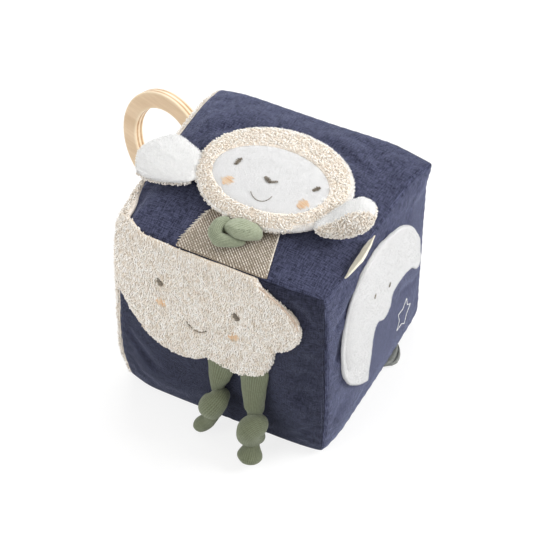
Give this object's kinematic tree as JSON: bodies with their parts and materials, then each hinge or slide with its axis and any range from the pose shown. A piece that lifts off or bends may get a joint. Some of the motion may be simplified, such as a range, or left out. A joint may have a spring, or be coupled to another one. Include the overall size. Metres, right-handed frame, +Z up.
{
  "type": "soft fabric activity block",
  "caption": "Padded fabric cube with a stuffed lamb's head, a cloud, a moon, knotted legs, a looped wooden ring and a rattle inside.",
  "frame": {"origin": "on the floor under the middle of the block, in the middle of its flat base", "axes": "+X to the right, +Y to the back, +Z up; the cloud faces -Y and the moon faces +X"},
  "size_m": [0.2182, 0.1826, 0.1639],
  "materials": {
    "navy_velour": "short napped navy cover cloth with wadding behind it",
    "cream_terry": "curly cream terry with a deep pile",
    "white_velour": "smooth white velour with a very short nap",
    "beige_twill": "two-tone beige and brown twill weave",
    "sage_jersey": "pale grey-green ribbed jersey",
    "olive_jersey": "dark olive ribbed jersey over stuffing",
    "cream_satin": "woven satin ribbon, bare",
    "olive_ribbon": "dark olive grosgrain ribbon",
    "beech": "bare sanded beech with fine straight grain",
    "foam": "soft filling block",
    "wadding": "polyester fibre filling",
    "case_plastic": "moulded rattle case",
    "bead_plastic": "small round beads"
  },
  "bodies": {
    "block": {"top_panel": "navy_velour", "front_panel": "navy_velour", "right_panel": "navy_velour", "back_panel": "navy_velour", "bottom_panel": "navy_velour", "left_panel": "cream_terry", "foam_core_lower": "foam", "foam_core_upper": "foam", "rattle_case_lower": "case_plastic", "rattle_case_upper": "case_plastic", "cloud_applique": "cream_terry", "moon_applique": "white_velour", "lamb_body": "beige_twill", "neck_tab": "beige_twill", "scarf_knot": "sage_jersey", "side_label": "cream_satin", "green_tab": "olive_ribbon"},
    "head": {"head_back": "cream_terry", "head_front": "cream_terry", "head_face": "white_velour", "head_filling": "wadding"},
    "ear_left": {"ear_left_velour": "white_velour", "ear_left_terry": "cream_terry"},
    "ear_right": {"ear_right_velour": "white_velour", "ear_right_terry": "cream_terry"},
    "scarf_left": {"scarf_end_left": "sage_jersey"},
    "scarf_right": {"scarf_end_right": "sage_jersey"},
    "leg_left": {"leg_left": "olive_jersey"},
    "leg_right": {"leg_right": "olive_jersey"},
    "ring_holder": {"ring_loop": "beige_twill"},
    "ring": {"wooden_ring": "beech"},
    "bead_1": {"rattle_bead_1": "bead_plastic"},
    "bead_2": {"rattle_bead_2": "bead_plastic"},
    "bead_3": {"rattle_bead_3": "bead_plastic"}
  },
  "joints": [
    {"name": "head_lift", "type": "hinge", "parent": "block", "child": "head", "pos_m": [0.0045, -0.0425, 0.14545], "axis": [1, 0, 0], "range_deg": [0, 75]},
    {"name": "ear_left_flap", "type": "hinge", "parent": "head", "child": "ear_left", "pos_m": [-0.0398, -0.017, 0.14545], "axis": [0, 1, 0], "range_deg": [0, 50]},
    {"name": "ear_right_flap", "type": "hinge", "parent": "head", "child": "ear_right", "pos_m": [0.0488, -0.017, 0.14545], "axis": [0, -1, 0], "range_deg": [0, 15]},
    {"name": "scarf_left_lift", "type": "hinge", "parent": "block", "child": "scarf_left", "pos_m": [-0.0053, -0.05, 0.14064], "axis": [-0.3746, 0.9272, 0], "range_deg": [0, 50]},
    {"name": "scarf_right_swing", "type": "hinge", "parent": "block", "child": "scarf_right", "pos_m": [-0.0053, -0.05, 0.14064], "axis": [0, 0, -1], "range_deg": [0, 30]},
    {"name": "leg_left_swing", "type": "hinge", "parent": "block", "child": "leg_left", "pos_m": [0.0012, -0.0675, 0.0515], "axis": [-1, 0, 0], "range_deg": [0, 80]},
    {"name": "leg_right_swing", "type": "hinge", "parent": "block", "child": "leg_right", "pos_m": [0.0236, -0.0675, 0.0515], "axis": [-1, 0, 0], "range_deg": [0, 80]},
    {"name": "loop_swing", "type": "hinge", "parent": "block", "child": "ring_holder", "pos_m": [-0.065, 0.061, 0.052], "axis": [0, 0, 1], "range_deg": [-60, 10]},
    {"name": "ring_turn", "type": "hinge", "parent": "ring_holder", "child": "ring", "pos_m": [-0.10792, 0.07453, 0.052], "axis": [-0.2944, -0.9336, 0.2045], "continuous": true},
    {"name": "rattle_bead_1_slide", "type": "slide", "parent": "block", "child": "bead_1", "axis": [0, 0, 1], "range_m": [0, 0.01]},
    {"name": "rattle_bead_2_slide", "type": "slide", "parent": "block", "child": "bead_2", "axis": [0, 0, 1], "range_m": [0, 0.01]},
    {"name": "rattle_bead_3_slide", "type": "slide", "parent": "block", "child": "bead_3", "axis": [0, 0, 1], "range_m": [0, 0.01]}
  ]
}
